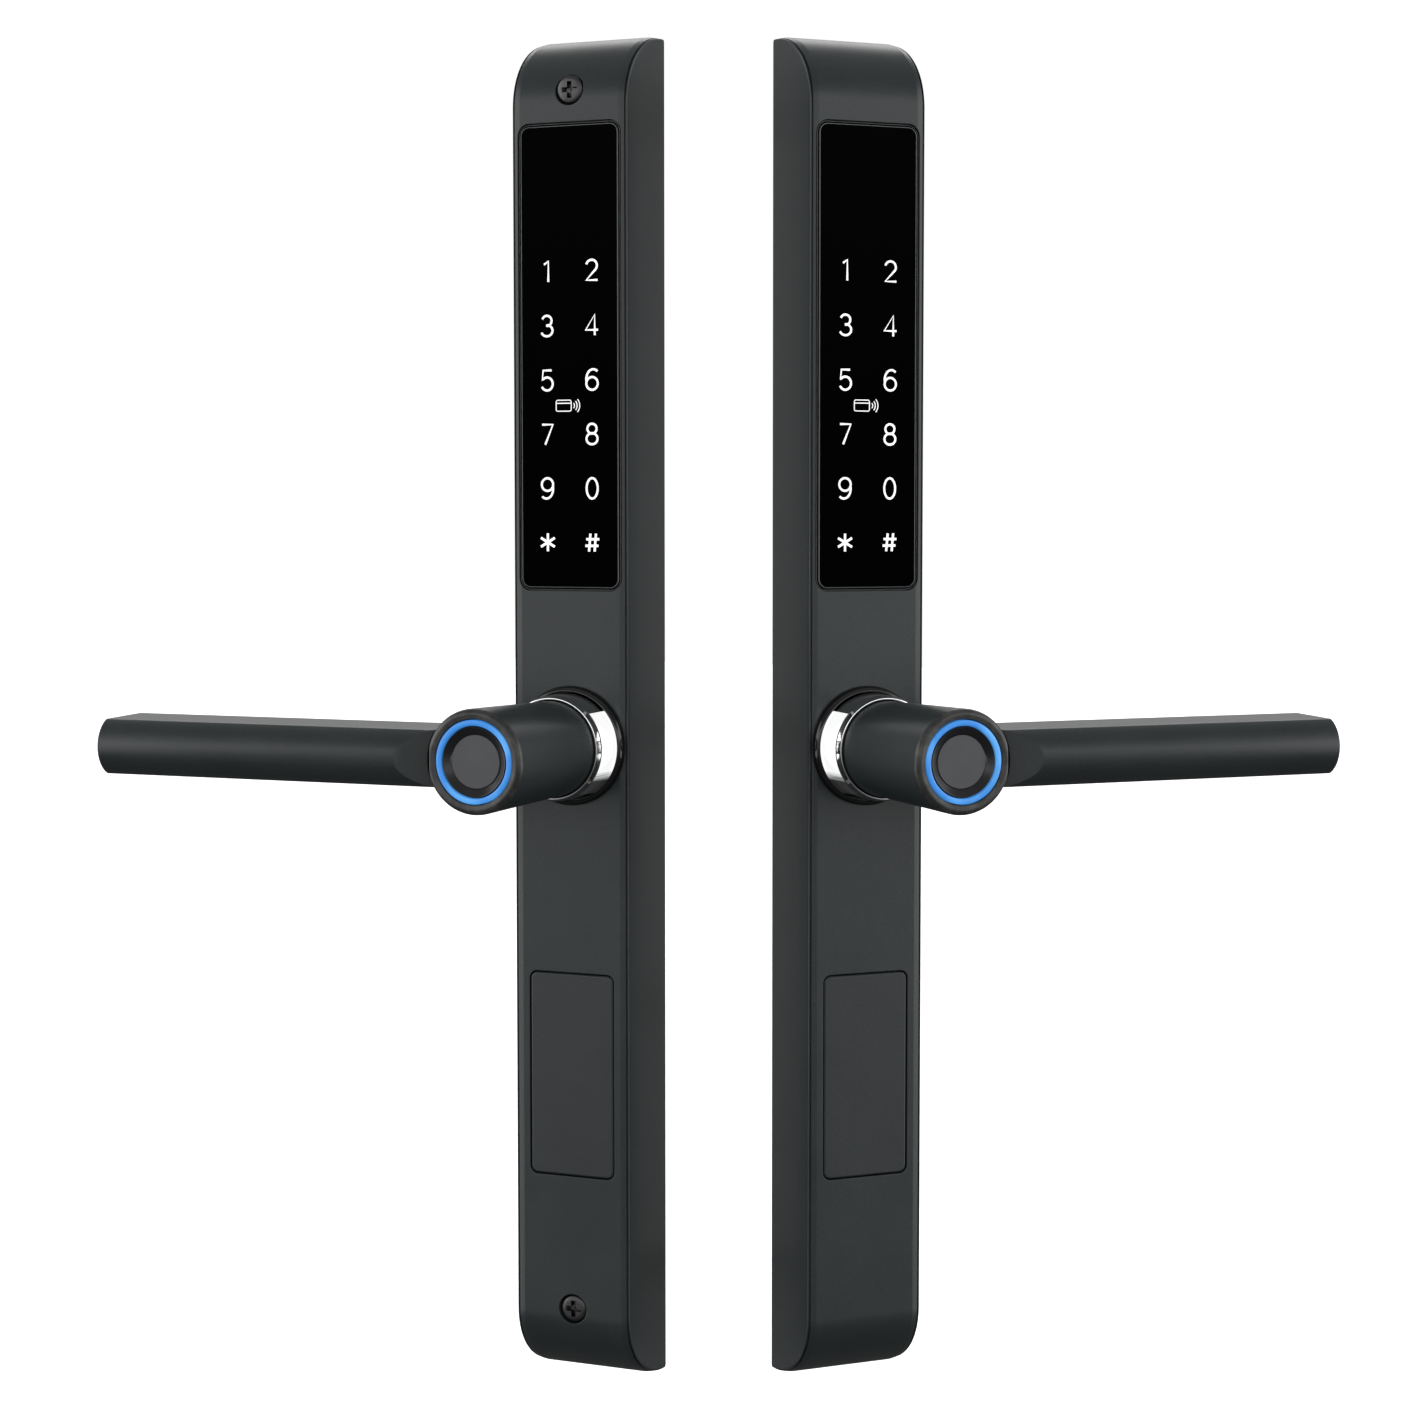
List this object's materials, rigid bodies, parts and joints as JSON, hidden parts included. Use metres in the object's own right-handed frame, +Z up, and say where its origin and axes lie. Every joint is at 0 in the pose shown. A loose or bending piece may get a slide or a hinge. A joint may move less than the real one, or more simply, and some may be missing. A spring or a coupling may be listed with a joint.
{
  "type": "keypad smart lock for a slim door, both halves",
  "caption": "Charcoal keypad smart lock in two mirrored halves, each with a black glass keypad, a straight lever with a lit fingerprint reader in its hub, and a small lift-off cover",
  "frame": {"origin": "middle of the inside half's height and width, on the face of its gasket, where it meets the door", "axes": "+Z up the door, +Y into the door from the inside half, +X towards the door's free edge; the inside lever points to -X"},
  "size_m": [0.3143, 0.1509, 0.376],
  "materials": {
    "charcoal_coating": "satin powder coat",
    "black_glass": "polished, black printed behind",
    "black_gloss": "gloss",
    "black_satin": "satin",
    "chrome": "polished",
    "sensor_grey": "fine grain",
    "blue_light": "lit light guide",
    "steel": "zinc plated",
    "dark_steel": "blackened steel",
    "brass": "turned",
    "copper": "bare copper track",
    "rubber": "foam rubber",
    "board_green": "solder mask",
    "cell_wrap": "plain printed sleeve",
    "clutch_grey": "moulded"
  },
  "bodies": {
    "inside_lever_set": {"inside_lever": "charcoal_coating", "inside_circlip": "steel", "inside_drive_hub": "steel", "inside_half_spindle": "steel", "inside_grub_screw": "dark_steel", "inside_reader_bezel": "black_satin", "inside_light_ring": "blue_light", "inside_fingerprint_sensor": "sensor_grey", "inside_reader_board": "board_green"},
    "outside_lever_set": {"outside_lever": "charcoal_coating", "outside_circlip": "steel", "outside_drive_hub": "steel", "outside_half_spindle": "steel", "outside_grub_screw": "dark_steel", "outside_reader_bezel": "black_satin", "outside_light_ring": "blue_light", "outside_fingerprint_sensor": "sensor_grey", "outside_reader_board": "board_green"},
    "inside_cover": {"inside_battery_cover": "charcoal_coating"},
    "outside_cover": {"outside_key_cover": "charcoal_coating"},
    "key_plug": {"outside_key_plug": "brass"},
    "inside_half": {"inside_casing": "charcoal_coating", "inside_back_plate": "steel", "inside_door_gasket": "rubber", "inside_keypad_glass": "black_glass", "inside_keypad_board": "board_green", "inside_card_antenna": "copper", "inside_main_board": "board_green", "inside_rose": "black_gloss", "inside_trim_ring": "chrome", "inside_lever_bush": "brass", "inside_return_spring": "steel", "inside_plate_screw_upper": "steel", "inside_plate_screw_lower": "steel", "inside_battery_tray": "black_satin", "inside_battery_cell_left": "cell_wrap", "inside_battery_cell_right": "cell_wrap", "inside_contact_upper": "steel", "inside_contact_lower": "steel", "inside_screw_top": "dark_steel", "inside_screw_bottom": "dark_steel"},
    "outside_half": {"outside_casing": "charcoal_coating", "outside_back_plate": "steel", "outside_door_gasket": "rubber", "outside_keypad_glass": "black_glass", "outside_keypad_board": "board_green", "outside_card_antenna": "copper", "outside_main_board": "board_green", "outside_rose": "black_gloss", "outside_trim_ring": "chrome", "outside_lever_bush": "brass", "outside_return_spring": "steel", "outside_plate_screw_upper": "steel", "outside_plate_screw_lower": "steel", "outside_key_housing": "black_satin", "outside_post_top": "brass", "outside_post_bottom": "brass", "outside_key_cylinder": "brass", "outside_power_port": "steel", "outside_clutch_unit": "clutch_grey"}
  },
  "joints": [
    {"name": "close_on_door", "type": "hinge", "parent": "inside_half", "child": "outside_half", "pos_m": [0.0253, 0.02, 0], "axis": [0, 0, 1], "range_deg": [0, 133.8]},
    {"name": "inside_lever_turn", "type": "hinge", "parent": "inside_half", "child": "inside_lever_set", "pos_m": [0, -0.025, -0.0077], "axis": [0, -1, 0], "range_deg": [0, 45], "stiffness_Nm_per_rad": 0.5, "springref_deg": -28.65, "deforming": ["inside_return_spring"]},
    {"name": "outside_lever_turn", "type": "hinge", "parent": "outside_half", "child": "outside_lever_set", "pos_m": [0.07529, 0.00711, -0.0077], "axis": [-0.7218, 0.6921, 0], "range_deg": [0, 45], "stiffness_Nm_per_rad": 0.5, "springref_deg": -28.65, "deforming": ["outside_return_spring"]},
    {"name": "inside_cover_lift", "type": "slide", "parent": "inside_half", "child": "inside_cover", "axis": [0, -1, 0], "range_m": [0, 0.04]},
    {"name": "outside_cover_lift", "type": "slide", "parent": "outside_half", "child": "outside_cover", "axis": [0.7218, -0.6921, 0], "range_m": [0, 0.04]},
    {"name": "key_plug_turn", "type": "hinge", "parent": "outside_half", "child": "key_plug", "pos_m": [0.06879, 0.01334, -0.089], "axis": [0.7218, -0.6921, 0], "range_deg": [0, 90]}
  ]
}
